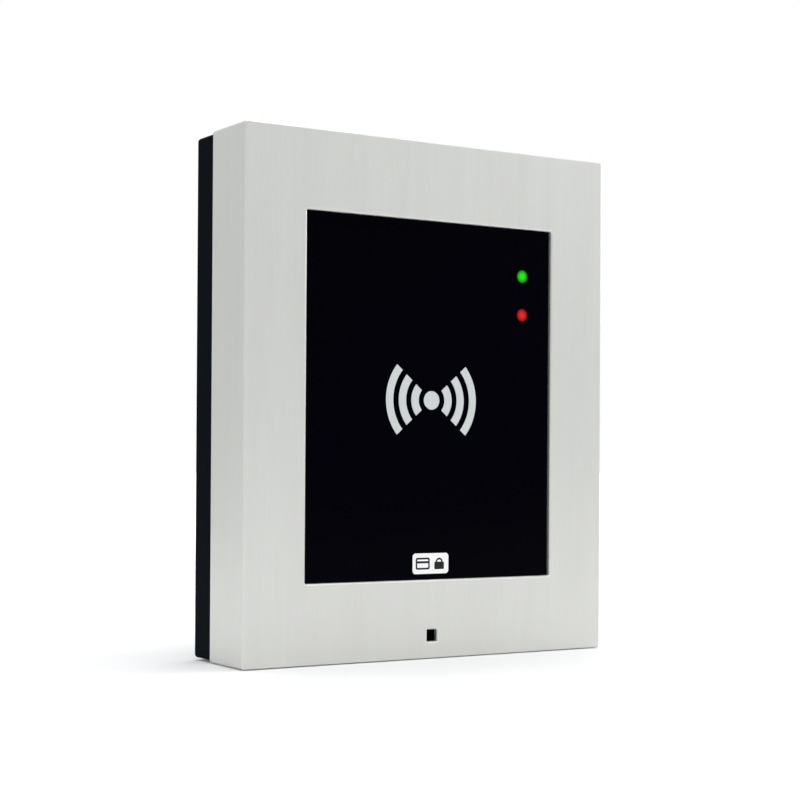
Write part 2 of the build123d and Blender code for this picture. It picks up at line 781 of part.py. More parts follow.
# ---- write every node -------------------------------------------------------------------
save("back_box", make_back_box())
save("wall_gasket", gasket_ring(gasket_wide / 2 - 0.1, gasket_wide / 2 - 0.1, 0, gasket_deep))
save("cable_grommet", make_grommet())
save("lock_bushes", *[upright(bush_radius, pillar_bottom, pillar_bottom + pillar_height - 0.8, x, lock_depth)
                      - upright(lock_screw_radius + running_gap, 0 - height, height, x, lock_depth)
                      for x in locks_x])
save("cable_clamp", make_cable_clamp())
save("cable_clamp_screws", *[screw_backward(x, clamp_bar_z, clamp_bar_near + clamp_ear_thick, 2.0, 1.2, 0.9,
                                                 4.8)
                             for x in (-clamp_bar_half + 3.5, clamp_bar_half - 3.5)])
save("front_frame", make_front_frame())
save("hinge_hooks", *[make_hook(x) for x in hooks_x])
save("hook_screws", *[make_hook_screw(x) for x in hooks_x])
save("lock_screw_left", make_lock_screw(locks_x[0]))
save("lock_screw_right", make_lock_screw(locks_x[1]))
save("window_panel", make_window_panel())
save("window_seal", make_window_seal())
save("card_symbol", *make_symbol())
save("badge_plate", make_badge_plate())
save("badge_marks", *make_badge_marks())
save("lens_green", make_lens(green_z))
save("lens_red", make_lens(red_z))
save("light_shield", make_light_shield())
save("status_leds", *make_status_leds())
save("module_housing", make_housing())
save("antenna_board", make_antenna_board())
save("antenna_coil", make_antenna_coil())
save("ferrite_sheet", slab(coil_width + 4, coil_height - 4, ferrite_back, antenna_back, 1.0))
save("board_link", make_board_link())
save("main_board", make_main_board())
save("controller_chip", on_board(12, 12, 1.4, -16, 10))
save("radio_chip", on_board(7, 7, 0.9, -2, 12))
save("memory_chips", on_board(6, 5, 1.2, -24, -14), on_board(6, 5, 1.2, -26, -38))
save("crystals", on_board(5.0, 3.2, 1.1, 7, 20), on_board(5.0, 3.2, 1.1, -26, 0))
save("power_inductor", on_board(7.0, 7.0, 3.2, 26.5, 19.5, 1.2))
save("capacitors", *make_capacitors())
save("chip_resistors", *make_chip_resistors())
save("relay", on_board(13.0, 16.0, 5.2, 26.0, -24.0, 0.5))
save("module_cover", make_back_cover())
save("cover_screws", *[screw_forward(x, z, cover_back + 1.6, 2.2, 1.3, 1.1, 8.5) for x, z in posts])
save("module_clamps", make_module_clamp(-1), make_module_clamp(1))
save("clamp_screws", *[screw_forward(x, z, ear_back - clamp_thick, 2.2, 1.3, 1.2, 5.0)
                       for x, z in clamp_posts()])
save("port_boot", make_port_boot())
save("port_membrane", make_port_membrane())
save("sounder", make_sounder())
save("sounder_flex", make_sounder_flex())
save("flex_socket", make_flex_socket())
save("terminal_header", make_header())
save("header_pins", *make_header_pins())
save("terminal_plug", make_terminal_plug())
save("terminal_screws", *make_terminal_screws())
save("tamper_switch", make_tamper_switch())
save("tamper_plunger", make_tamper_plunger())
save("tamper_spring", make_tamper_spring())
save("reset_switch", make_reset_body())
save("reset_cap", make_reset_cap())
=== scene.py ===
import bpy
import math
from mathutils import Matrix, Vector


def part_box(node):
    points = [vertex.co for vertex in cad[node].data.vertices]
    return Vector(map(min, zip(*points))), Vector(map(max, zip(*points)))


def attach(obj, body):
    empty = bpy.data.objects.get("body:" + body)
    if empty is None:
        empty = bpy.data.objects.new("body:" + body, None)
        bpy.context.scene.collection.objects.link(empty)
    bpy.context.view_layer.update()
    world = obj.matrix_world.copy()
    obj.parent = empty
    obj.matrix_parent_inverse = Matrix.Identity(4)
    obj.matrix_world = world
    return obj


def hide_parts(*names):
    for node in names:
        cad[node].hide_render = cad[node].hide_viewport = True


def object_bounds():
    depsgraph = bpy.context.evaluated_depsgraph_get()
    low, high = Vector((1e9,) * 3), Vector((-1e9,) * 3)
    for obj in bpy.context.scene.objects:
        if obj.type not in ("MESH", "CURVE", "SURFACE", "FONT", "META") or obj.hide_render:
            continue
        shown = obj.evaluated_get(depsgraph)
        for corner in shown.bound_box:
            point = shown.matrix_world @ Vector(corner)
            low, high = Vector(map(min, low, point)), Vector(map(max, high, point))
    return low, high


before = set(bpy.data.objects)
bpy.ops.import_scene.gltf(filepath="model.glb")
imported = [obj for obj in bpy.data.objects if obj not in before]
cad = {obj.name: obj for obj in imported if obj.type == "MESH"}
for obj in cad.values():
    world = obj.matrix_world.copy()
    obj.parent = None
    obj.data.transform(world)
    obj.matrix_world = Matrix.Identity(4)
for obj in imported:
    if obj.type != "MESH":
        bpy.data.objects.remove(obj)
cad_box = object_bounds()

# ---- Studio ---------------------------------------------------------------------------------
# The reader stands on its lower edge on a white table that runs out of sight. The camera is
# level, to the reader's left. The light is soft, stronger from the right and from above.
scene = bpy.context.scene
scene.view_settings.view_transform = "Standard"
table_z = cad_box[0].z - 0.0002
bpy.ops.object.select_all(action="DESELECT")

camera_data = bpy.data.cameras.new("camera")
camera_data.lens = 78.32
camera_data.sensor_width = 36.0
camera_data.shift_y = 0.075
camera = bpy.data.objects.new("camera", camera_data)
camera.location = (-0.2402, -0.3945, -0.0155)
camera.rotation_euler = (math.radians(90.05), math.radians(-0.37), math.radians(-32.07))
scene.collection.objects.link(camera)
scene.camera = camera


def shader_node(tree, kind, sockets=None, **settings):
    """One shader node, with its settings and the values on its sockets."""
    made = tree.nodes.new("ShaderNode" + kind)
    for key, value in settings.items():
        setattr(made, key, value)
    for key, value in (sockets or {}).items():
        made.inputs[key].default_value = value
    return made


def wire(source, result, target, socket):
    """Link a node's result to a socket of another node."""
    source.id_data.links.new(source.outputs[result], target.inputs[socket])


def new_finish(name, colour, roughness, metallic=0.0, specular=0.5):
    """Material with its shader's constant values set: the material, its tree and its shader."""
    made = bpy.data.materials.new(name)
    made.use_nodes = True
    shader = made.node_tree.nodes["Principled BSDF"]
    shader.inputs["Base Color"].default_value = (*colour, 1)
    shader.inputs["Roughness"].default_value = roughness
    shader.inputs["Metallic"].default_value = metallic
    shader.inputs["Specular IOR Level"].default_value = specular
    return made, made.node_tree, shader


bpy.ops.mesh.primitive_plane_add(size=12.0, location=(0, 0, table_z))
table_top = bpy.context.object
table_top.name = "table_top"
table_paint, tree, shader = new_finish("table_paint", (0.82, 0.82, 0.82), 0.9, 0, 0)
table_top.data.materials.append(table_paint)
where = shader_node(tree, "TexCoord")
far_off = shader_node(tree, "VectorMath", operation="LENGTH")
fade = shader_node(tree, "MapRange", {"From Min": 0.1, "From Max": 1.2, "To Min": 0.07, "To Max": 1.1},
                   interpolation_type="SMOOTHSTEP")
straight_to_camera = shader_node(tree, "LightPath")
lit = shader_node(tree, "Math", operation="MULTIPLY")
shader.inputs["Emission Color"].default_value = (1, 1, 1, 1)
wire(where, "Object", far_off, 0)
wire(far_off, "Value", fade, "Value")
wire(fade, "Result", lit, 0)
wire(straight_to_camera, "Is Camera Ray", lit, 1)
wire(lit, "Value", shader, "Emission Strength")

world = bpy.data.worlds.new("studio")
world.use_nodes = True
scene.world = world
tree = world.node_tree
tree.nodes.clear()
seen_white = shader_node(tree, "Background", {"Color": (1, 1, 1, 1), "Strength": 1.0})
room_glow = shader_node(tree, "Background", {"Color": (0.97, 0.99, 1.0, 1)})
direction = shader_node(tree, "TexCoord")
height_of = shader_node(tree, "SeparateXYZ")
ceiling = shader_node(tree, "MapRange", {"From Min": 0.0, "From Max": 0.45, "To Min": 0.62, "To Max": 0.84},
                      interpolation_type="SMOOTHSTEP")
wire(direction, "Generated", height_of, 0)
wire(height_of, "Z", ceiling, "Value")
wire(ceiling, "Result", room_glow, "Strength")
which = shader_node(tree, "LightPath")
either = shader_node(tree, "MixShader")
room_out = shader_node(tree, "OutputWorld")
wire(which, "Is Camera Ray", either, 0)
wire(room_glow, 0, either, 1)
wire(seen_white, 0, either, 2)
wire(either, 0, room_out, "Surface")


def softbox(name, place, wide, high, power):
    """Rectangular studio light at place, turned towards the reader."""
    lamp = bpy.data.lights.new(name, "AREA")
    lamp.shape = "RECTANGLE"
    lamp.size = wide
    lamp.size_y = high
    lamp.energy = power
    holder = bpy.data.objects.new(name, lamp)
    holder.location = place
    holder.rotation_euler = (-Vector(place)).to_track_quat("-Z", "Y").to_euler()
    scene.collection.objects.link(holder)


softbox("softbox_top", (0.05, 0.0, 0.8), 0.6, 0.5, 4.0)
softbox("softbox_right", (0.98, -0.2, 0.34), 0.3, 0.4, 3.0)
softbox("softbox_left", (-0.9, 0.2, 0.0), 0.5, 0.5, 0.2)


# ---- Wall box -------------------------------------------------------------------------------
# Black tray that is screwed to the wall; its front edge shows behind the metal frame. It is
# moulded in ABS with a fine spark-eroded texture, and its edges are slightly softened.
def group_tree(name, values, results):
    """Node group with number inputs and the named outputs: the tree, its input and output nodes."""
    made = bpy.data.node_groups.new(name, "ShaderNodeTree")
    for socket, value in values.items():
        made.interface.new_socket(socket, in_out="INPUT", socket_type="NodeSocketFloat").default_value = value
    for socket, kind in results.items():
        made.interface.new_socket(socket, in_out="OUTPUT", socket_type="NodeSocket" + kind)
    return made, made.nodes.new("NodeGroupInput"), made.nodes.new("NodeGroupOutput")


def edge_mask_group():
    """Softened edges: their normal, and a mask that is 1 along them."""
    tree, values, results = group_tree("edge_mask", {"Radius": 0.0002, "Contrast": 3.0},
                                       {"Edge": "Float", "Normal": "Vector"})
    rounded = shader_node(tree, "Bevel", samples=4)
    face = shader_node(tree, "NewGeometry")
    alike = shader_node(tree, "VectorMath", operation="DOT_PRODUCT")
    turned = shader_node(tree, "Math", operation="SUBTRACT")
    turned.inputs[0].default_value = 1.0
    stronger = shader_node(tree, "Math", operation="MULTIPLY", use_clamp=True)
    wire(values, "Radius", rounded, "Radius")
    wire(rounded, "Normal", alike, 0)
    wire(face, "Normal", alike, 1)
    wire(alike, "Value", turned, 1)
    wire(turned, 0, stronger, 0)
    wire(values, "Contrast", stronger, 1)
    wire(stronger, 0, results, "Edge")
    wire(rounded, "Normal", results, "Normal")
    return tree


def moulded_grain_group():
    """Texture of a spark-eroded mould: its height, the roughness, and slow changes of tone."""
    tree, values, results = group_tree("moulded_grain", {"Grain": 3500.0, "Roughness": 0.45, "Spread": 0.1},
                                       {"Height": "Float", "Roughness": "Float", "Tone": "Float"})
    where = shader_node(tree, "TexCoord")
    pits = shader_node(tree, "TexNoise", {"Detail": 3.0, "Roughness": 0.6})
    clouds = shader_node(tree, "TexNoise", {"Scale": 45.0, "Detail": 2.0})
    centred = shader_node(tree, "Math", operation="SUBTRACT")
    centred.inputs[1].default_value = 0.5
    rougher = shader_node(tree, "Math", operation="MULTIPLY_ADD")
    wire(where, "Object", pits, "Vector")
    wire(where, "Object", clouds, "Vector")
    wire(values, "Grain", pits, "Scale")
    wire(clouds, "Fac", centred, 0)
    wire(centred, 0, rougher, 0)
    wire(values, "Spread", rougher, 1)
    wire(values, "Roughness", rougher, 2)
    wire(pits, "Fac", results, "Height")
    wire(rougher, 0, results, "Roughness")
    wire(clouds, "Fac", results, "Tone")
    return tree


edge_mask = edge_mask_group()
moulded_grain = moulded_grain_group()


def moulded_finish(name, colour, worn_and_lit_colour, roughness=0.45, specular=0.4, grain=3500.0, bump=0.12,
                   radius=0.0002):
    """Moulded plastic or rubber: grain, slow changes of tone, and edges painted a lighter second colour,
    partly wear and partly a painted highlight.
    """
    made, tree, shader = new_finish(name, colour, roughness, 0, specular)
    texture = shader_node(tree, "Group", node_tree=moulded_grain)
    texture.inputs["Grain"].default_value = grain
    texture.inputs["Roughness"].default_value = roughness
    edges = shader_node(tree, "Group", node_tree=edge_mask)
    edges.inputs["Radius"].default_value = radius
    tone = shader_node(tree, "Mix", data_type="RGBA")
    tone.inputs[6].default_value = (*[0.8 * part for part in colour], 1)
    tone.inputs[7].default_value = (*[1.25 * part for part in colour], 1)
    # Edges painted lighter: partly wear, partly a painted highlight that outlines them.
    brighter_edge = shader_node(tree, "Mix", data_type="RGBA")
    brighter_edge.inputs[7].default_value = (*worn_and_lit_colour, 1)
    skin = shader_node(tree, "Bump", {"Strength": bump, "Distance": 0.00003})
    wire(texture, "Tone", tone, 0)
    wire(edges, "Edge", brighter_edge, 0)
    wire(tone, 2, brighter_edge, 6)
    wire(brighter_edge, 2, shader, "Base Color")
    wire(texture, "Roughness", shader, "Roughness")
    wire(texture, "Height", skin, "Height")
    wire(edges, "Normal", skin, "Normal")
    wire(skin, "Normal", shader, "Normal")
    return made


def dress(finish, *names):
    """Give CAD nodes their finish."""
    for name in names:
        cad[name].data.materials.clear()
        cad[name].data.materials.append(finish)


box_plastic = moulded_finish("box_plastic", (0.0004, 0.0024, 0.0048), (0.009, 0.014, 0.020), 0.46, 0.01,
                             2600.0, 0.3)
# Painted shading: faces turned to the front or the back are painted paler than the sides, and the box's
# lighter edges are a painted highlight that outlines them.
tree = box_plastic.node_tree
skin_shader = tree.nodes["Principled BSDF"]
outside = skin_shader.inputs["Base Color"].links[0].from_socket
face = shader_node(tree, "NewGeometry")
parts = shader_node(tree, "SeparateXYZ")
level = shader_node(tree, "Math", operation="ABSOLUTE")
facing_front_or_back = shader_node(tree, "MapRange", {"From Min": 0.6, "From Max": 0.9})
painted_pale_facing = shader_node(tree, "Mix", data_type="RGBA")
painted_pale_facing.inputs[7].default_value = (0.011, 0.013, 0.016, 1)
wire(face, "Normal", parts, 0)
wire(parts, "Y", level, 0)
wire(level, 0, facing_front_or_back, "Value")
wire(facing_front_or_back, "Result", painted_pale_facing, 0)
tree.links.new(outside, painted_pale_facing.inputs[6])
wire(painted_pale_facing, 2, skin_shader, "Base Color")
dress(box_plastic, "back_box")

# ---- Gasket and cable grommet ---------------------------------------------------------------
# The gasket is an EPDM cord in a groove of the box's back. The grommet is softer rubber,
# snapped into the round hole that the cable comes through.
gasket_rubber = moulded_finish("gasket_rubber", (0.012, 0.012, 0.013), (0.03, 0.03, 0.03), 0.75, 0.3,
                               1800.0, 0.35)
dress(gasket_rubber, "wall_gasket", "cable_grommet")


# ---- Lock bushes ----------------------------------------------------------------------------
# Turned brass inserts, pressed into the box's two pillars, that the lock screws drive up into.
def turned_group():
    """Marks of a turning tool round a vertical axis: their height and the roughness."""
    tree, values, results = group_tree("turned_marks", {"Pitch": 9000.0, "Roughness": 0.3},
                                       {"Height": "Float", "Roughness": "Float", "Tone": "Float"})
    where = shader_node(tree, "TexCoord")
    stretch = shader_node(tree, "Mapping", vector_type="POINT")
    stretch.inputs["Scale"].default_value = (0.02, 0.02, 1.0)
    marks = shader_node(tree, "TexNoise", {"Detail": 2.0})
    stains = shader_node(tree, "TexNoise", {"Scale": 600.0, "Detail": 3.0})
    spread = shader_node(tree, "Math", operation="MULTIPLY_ADD")
    spread.inputs[1].default_value = 0.16
    wire(where, "Object", stretch, "Vector")
    wire(stretch, "Vector", marks, "Vector")
    wire(where, "Object", stains, "Vector")
    wire(values, "Pitch", marks, "Scale")
    wire(stains, "Fac", spread, 0)
    wire(values, "Roughness", spread, 2)
    wire(marks, "Fac", results, "Height")
    wire(spread, 0, results, "Roughness")
    wire(stains, "Fac", results, "Tone")
    return tree


turned_marks = turned_group()


def plain_metal_finish(name, dark, light, roughness, pitch=9000.0):
    """Small metal parts: fine marks, stains of tone, and edges set brighter than the rest."""
    made, tree, shader = new_finish(name, light, roughness, 1.0)
    marks = shader_node(tree, "Group", node_tree=turned_marks)
    marks.inputs["Pitch"].default_value = pitch
    marks.inputs["Roughness"].default_value = roughness
    edges = shader_node(tree, "Group", node_tree=edge_mask)
    edges.inputs["Radius"].default_value = 0.0001
    tone = shader_node(tree, "Mix", data_type="RGBA")
    tone.inputs[6].default_value = (*dark, 1)
    tone.inputs[7].default_value = (*light, 1)
    brighter_edge = shader_node(tree, "Mix", data_type="RGBA")
    brighter_edge.inputs[7].default_value = (*[min(1.0, 1.25 * part) for part in light], 1)
    skin = shader_node(tree, "Bump", {"Strength": 0.1, "Distance": 0.00002})
    wire(marks, "Tone", tone, 0)
    wire(tone, 2, brighter_edge, 6)
    wire(edges, "Edge", brighter_edge, 0)
    wire(brighter_edge, 2, shader, "Base Color")
    wire(marks, "Roughness", shader, "Roughness")
    wire(marks, "Height", skin, "Height")
    wire(edges, "Normal", skin, "Normal")
    wire(skin, "Normal", shader, "Normal")
    return made


turned_brass = plain_metal_finish("turned_brass", (0.50, 0.33, 0.10), (0.72, 0.52, 0.20), 0.25)
dress(turned_brass, "lock_bushes")

# ---- Cable clamp ----------------------------------------------------------------------------
# Moulded bar that grips the cable below the grommet, held on its two posts by pan-head screws.
dress(box_plastic, "cable_clamp")
mm = 0.001


def pick_faces(piece, wanted):
    """Select the faces whose centre and normal are the wanted ones, for the next edit operator."""
    bpy.context.view_layer.objects.active = piece
    bpy.context.tool_settings.mesh_select_mode = (False, False, True)
    if piece.mode == "EDIT":
        bpy.ops.object.mode_set(mode="OBJECT")
    for part in (piece.data.vertices, piece.data.edges):
        part.foreach_set("select", [False] * len(part))
    for face in piece.data.polygons:
        face.select = wanted(face.center, face.normal)
    bpy.ops.object.mode_set(mode="EDIT")


def pick_edges(piece, wanted):
    """Select the edges whose two ends are both wanted, for the next edit operator."""
    bpy.context.view_layer.objects.active = piece
    bpy.context.tool_settings.mesh_select_mode = (False, True, False)
    if piece.mode == "EDIT":
        bpy.ops.object.mode_set(mode="OBJECT")
    points = piece.data.vertices
    points.foreach_set("select", [False] * len(points))
    piece.data.polygons.foreach_set("select", [False] * len(piece.data.polygons))
    for edge in piece.data.edges:
        edge.select = wanted(points[edge.vertices[0]].co, points[edge.vertices[1]].co)
    bpy.ops.object.mode_set(mode="EDIT")


def start_block(name, centre, size, turn=0.0):
    """Block to model from, at its size and place, turned about the vertical."""
    bpy.ops.object.select_all(action="DESELECT")
    bpy.ops.mesh.primitive_cube_add(size=1, location=centre, rotation=(0, 0, turn), scale=size)
    made = bpy.context.object
    made.name = name
    bpy.ops.object.transform_apply(location=True, rotation=True, scale=True)
    return made


def start_rod(name, vertices, radius, long, centre):
    """Upright rod to model from, at its size and place."""
    bpy.ops.object.select_all(action="DESELECT")
    bpy.ops.mesh.primitive_cylinder_add(vertices=vertices, radius=radius, depth=long, location=centre)
    made = bpy.context.object
    made.name = name
    bpy.ops.object.transform_apply(location=True)
    return made


def draw_out(along, widen=1.0, middle=(0, 0, 0)):
    """Extrude the picked faces by a vector, then widen them about a point."""
    bpy.ops.mesh.extrude_region_move(TRANSFORM_OT_translate={"value": along})
    if widen != 1.0:
        bpy.ops.transform.resize(value=(widen, widen, widen), center_override=middle)


def carve(piece, tool):
    """Cut a tool's shape out of a piece, and throw the tool away."""
    cut = piece.modifiers.new("cut", "BOOLEAN")
    cut.operation = "DIFFERENCE"
    cut.solver = "EXACT"
    cut.object = tool
    bpy.context.view_layer.objects.active = piece
    bpy.ops.object.modifier_apply(modifier="cut")
    bpy.data.objects.remove(tool)


def settle(piece, finish, angle=35):
    """Leave edit mode, turn the faces outwards, shade the piece and give it its finish."""
    bpy.context.view_layer.objects.active = piece
    bpy.ops.object.mode_set(mode="EDIT")
    bpy.ops.mesh.select_all(action="SELECT")
    bpy.ops.mesh.normals_make_consistent(inside=False)
    bpy.ops.object.mode_set(mode="OBJECT")
    bpy.ops.object.select_all(action="DESELECT")
    piece.select_set(True)
    bpy.ops.object.transform_apply(location=True, rotation=True, scale=True)
    bpy.ops.object.shade_smooth_by_angle(angle=math.radians(angle))
    piece.data.materials.clear()
    piece.data.materials.append(finish)
    bpy.ops.object.select_all(action="DESELECT")


def fit_copy(pattern, name, place, turn, body, node):
    """Copy a finished pattern, with its own mesh, to a place and a turn, and let it ride on a body."""
    bpy.ops.object.select_all(action="DESELECT")
    pattern.select_set(True)
    bpy.context.view_layer.objects.active = pattern
    bpy.ops.object.duplicate(linked=False)
    made = bpy.context.object
    made.name = name
    made.location = place
    made.rotation_euler = turn
    bpy.ops.object.transform_apply(location=True, rotation=True, scale=True)
    bpy.ops.object.select_all(action="DESELECT")
    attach(made, body)
    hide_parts(node)


def model_pan_screw(name, head_radius, head_high, shank_radius, shank_long, finish):
    """Cross-head pan screw along +Z with the underside of its head at z = 0."""
    neck = 0.4 * mm
    pitch = 0.5 * mm
    root = 0.82
    screw = start_rod(name, 32, head_radius, head_high, (0, 0, -head_high / 2))
    pick_edges(screw, lambda a, b: a.z < -head_high + 1e-5 and b.z < -head_high + 1e-5)
    bpy.ops.mesh.bevel(offset=0.5 * head_high, segments=5)
    pick_faces(screw, lambda c, n: n.z > 0.9)
    bpy.ops.mesh.inset(thickness=head_radius - shank_radius)
    draw_out((0, 0, neck))
    turns = int((shank_long - 1.0 * mm) / pitch)
    for turn in range(turns):
        draw_out((0, 0, pitch / 2), root, (0, 0, neck + (turn + 0.5) * pitch))
        draw_out((0, 0, pitch / 2), 1 / root, (0, 0, neck + (turn + 1) * pitch))
    draw_out((0, 0, shank_long - neck - turns * pitch), 0.55, (0, 0, shank_long))
    bpy.ops.object.mode_set(mode="OBJECT")
    for turn in (0, math.pi / 2):
        blade = start_block("blade", (0, 0, -head_high),
                            (1.25 * head_radius, 0.28 * head_radius, 1.3 * head_high), turn)
        pick_faces(blade, lambda c, n: n.z > 0.9)
        bpy.ops.transform.resize(value=(0.55, 0.55, 1))
        bpy.ops.object.mode_set(mode="OBJECT")
        carve(screw, blade)
    settle(screw, finish)
    return screw


zinc_steel = plain_metal_finish("zinc_steel", (0.42, 0.43, 0.45), (0.62, 0.63, 0.66), 0.28)
clamp_low, clamp_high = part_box("cable_clamp_screws")
clamp_head_radius = 2.0 * mm
clamp_head_high = 1.2 * mm
clamp_pattern = model_pan_screw("cable_clamp_pattern", clamp_head_radius, clamp_head_high, 0.9 * mm, 4.8 * mm,
                                zinc_steel)
clamp_screw_z = (clamp_low.z + clamp_high.z) / 2
for side, screw_x in (("left", clamp_low.x + clamp_head_radius), ("right", clamp_high.x - clamp_head_radius)):
    fit_copy(clamp_pattern, "cable_clamp_screw_" + side,
             (screw_x, clamp_low.y + clamp_head_high, clamp_screw_z),
             (math.radians(-90), 0, 0), "wall_box", "cable_clamp_screws")
bpy.data.objects.remove(clamp_pattern)


# ---- Metal front frame ----------------------------------------------------------------------
# One casting in a light nickel-zinc alloy: face, window opening and a deep skirt. Its outside
# is brushed up and down with a fine belt and sealed; its edges are painted brighter, a painted highlight.
def brushed_group():
    """Lines left by a belt: their height, the roughness they make, and bands of tone."""
    tree, values, results = group_tree("belt_brushing", {"Lines": 3800.0, "Roughness": 0.42, "Spread": 0.07},
                                       {"Height": "Float", "Roughness": "Float", "Tone": "Float"})
    where = shader_node(tree, "TexCoord")
    upright = shader_node(tree, "Mapping", vector_type="POINT")
    upright.inputs["Scale"].default_value = (1.0, 1.0, 0.016)
    lying = shader_node(tree, "Mapping", vector_type="POINT")
    lying.inputs["Scale"].default_value = (0.016, 1.0, 1.0)
    face = shader_node(tree, "NewGeometry")
    parts = shader_node(tree, "SeparateXYZ")
    steep = shader_node(tree, "Math", operation="ABSOLUTE")
    on_end = shader_node(tree, "Math", operation="GREATER_THAN")
    on_end.inputs[1].default_value = 0.8
    way = shader_node(tree, "Mix", data_type="VECTOR")
    lines = shader_node(tree, "TexNoise", {"Detail": 4.0, "Roughness": 0.65})
    bands = shader_node(tree, "TexNoise", {"Scale": 190.0, "Detail": 3.0, "Roughness": 0.6})
    stretch = shader_node(tree, "Mapping", vector_type="POINT")
    stretch.inputs["Scale"].default_value = (1.0, 1.0, 0.06)
    both = shader_node(tree, "Mix", data_type="FLOAT")
    both.inputs[0].default_value = 0.45
    centred = shader_node(tree, "Math", operation="SUBTRACT")
    centred.inputs[1].default_value = 0.5
    rougher = shader_node(tree, "Math", operation="MULTIPLY_ADD")
    wire(where, "Object", upright, "Vector")
    wire(where, "Object", lying, "Vector")
    wire(where, "Object", stretch, "Vector")
    wire(face, "True Normal", parts, 0)
    wire(parts, "Z", steep, 0)
    wire(steep, 0, on_end, 0)
    wire(on_end, 0, way, 0)
    wire(upright, 0, way, 4)
    wire(lying, 0, way, 5)
    wire(way, 1, lines, "Vector")
    wire(values, "Lines", lines, "Scale")
    wire(stretch, 0, bands, "Vector")
    wire(lines, "Fac", both, 2)
    wire(bands, "Fac", both, 3)
    wire(both, 0, centred, 0)
    wire(centred, 0, rougher, 0)
    wire(values, "Spread", rougher, 1)
    wire(values, "Roughness", rougher, 2)
    wire(lines, "Fac", results, "Height")
    wire(rougher, 0, results, "Roughness")
    wire(both, 0, results, "Tone")
    return tree


belt_brushing = brushed_group()
brushed_alloy, tree, shader = new_finish("brushed_alloy", (0.74, 0.74, 0.71), 0.42, 0.82)
shader.inputs["Anisotropic"].default_value = 0.45
brushing = shader_node(tree, "Group", node_tree=belt_brushing)
edges = shader_node(tree, "Group", node_tree=edge_mask)
edges.inputs["Radius"].default_value = 0.00035
edges.inputs["Contrast"].default_value = 8.0
streaks = shader_node(tree, "MapRange", {"From Min": 0.3, "From Max": 0.7})
tone = shader_node(tree, "Mix", data_type="RGBA")
tone.inputs[6].default_value = (0.715, 0.715, 0.682, 1)
tone.inputs[7].default_value = (0.765, 0.767, 0.737, 1)
# Painted highlight: along the edges the colour turns near-white.
brighter_edge = shader_node(tree, "Mix", data_type="RGBA")
brighter_edge.inputs[7].default_value = (0.95, 0.95, 0.93, 1)
skin = shader_node(tree, "Bump", {"Strength": 0.06, "Distance": 0.00002})
around = shader_node(tree, "Tangent", direction_type="RADIAL", axis="Z")
wire(brushing, "Tone", streaks, "Value")
wire(streaks, "Result", tone, 0)
wire(tone, 2, brighter_edge, 6)
wire(edges, "Edge", brighter_edge, 0)
wire(brighter_edge, 2, shader, "Base Color")
wire(brushing, "Roughness", shader, "Roughness")
wire(brushing, "Height", skin, "Height")
wire(edges, "Normal", skin, "Normal")
wire(skin, "Normal", shader, "Normal")
wire(around, "Tangent", shader, "Tangent")
dress(brushed_alloy, "front_frame")

# ---- Hinge hooks ----------------------------------------------------------------------------
# Two tongues of zinc-plated steel strip, curved about the hinge line, each screwed up against
# a pad under the frame's top wall by one pan-head screw.
dress(zinc_steel, "hinge_hooks")
hook_low, hook_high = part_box("hook_screws")
head_radius = 2.2 * mm
head_high = 1.3 * mm
hook_pattern = model_pan_screw("hook_pattern", head_radius, head_high, 1.2 * mm,
                               hook_high.z - hook_low.z - head_high, zinc_steel)
hook_screw_y = (hook_low.y + hook_high.y) / 2
for side, screw_x in (("left", hook_low.x + head_radius), ("right", hook_high.x - head_radius)):
    fit_copy(hook_pattern, "hook_screw_" + side, (screw_x, hook_screw_y, hook_low.z + head_high),
             (0, 0, 0), "front", "hook_screws")
bpy.data.objects.remove(hook_pattern)

# ---- Window panel and its seal --------------------------------------------------------------
# Scratch-resistant window, printed black from behind, which sits about a millimetre below the
# face on a thin rubber seal. The print is so deep that only the surface's gloss is seen.
dress(gasket_rubber, "window_seal")
window_black, tree, shader = new_finish("window_black", (0.0002, 0.0002, 0.0014), 0.06, 0, 0.02)
where = shader_node(tree, "TexCoord")
wipes = shader_node(tree, "TexNoise", {"Scale": 38.0, "Detail": 4.0, "Distortion": 0.8})
smear = shader_node(tree, "MapRange", {"From Min": 0.35, "From Max": 0.75, "To Min": 0.04, "To Max": 0.11})
depth_tone = shader_node(tree, "TexNoise", {"Scale": 12.0, "Detail": 1.0})
ink = shader_node(tree, "Mix", data_type="RGBA")
ink.inputs[6].default_value = (0.0000, 0.0000, 0.0008, 1)
ink.inputs[7].default_value = (0.0001, 0.0001, 0.0026, 1)
wire(where, "Object", wipes, "Vector")
wire(where, "Object", depth_tone, "Vector")
wire(wipes, "Fac", smear, "Value")
wire(smear, "Result", shader, "Roughness")
wire(depth_tone, "Fac", ink, 0)
wire(ink, 2, shader, "Base Color")
dress(window_black, "window_panel")


# ---- Symbol and badge -----------------------------------------------------------------------
# Screen-printed inlays in the window: the dot and arcs that show where to hold a card, and a
# small pale badge with a card and a padlock.
def print_finish(name, dark, light, glow):
    """Screen-printed ink: slightly uneven film with a fine weave from the screen, and a glow of its own
    colour that is painted light.
    """
    made, tree, shader = new_finish(name, light, 0.55, 0, 0.3)
    where = shader_node(tree, "TexCoord")
    film = shader_node(tree, "TexNoise", {"Scale": 900.0, "Detail": 3.0})
    screen = shader_node(tree, "TexChecker", {"Scale": 9000.0})
    tone = shader_node(tree, "Mix", data_type="RGBA")
    tone.inputs[6].default_value = (*dark, 1)
    tone.inputs[7].default_value = (*light, 1)
    skin = shader_node(tree, "Bump", {"Strength": 0.08, "Distance": 0.00001})
    wire(where, "Object", film, "Vector")
    wire(where, "Object", screen, "Vector")
    wire(film, "Fac", tone, 0)
    wire(tone, 2, shader, "Base Color")
    wire(screen, "Fac", skin, "Height")
    wire(skin, "Normal", shader, "Normal")
    shader.inputs["Emission Color"].default_value = (*light, 1)
    shader.inputs["Emission Strength"].default_value = glow
    return made


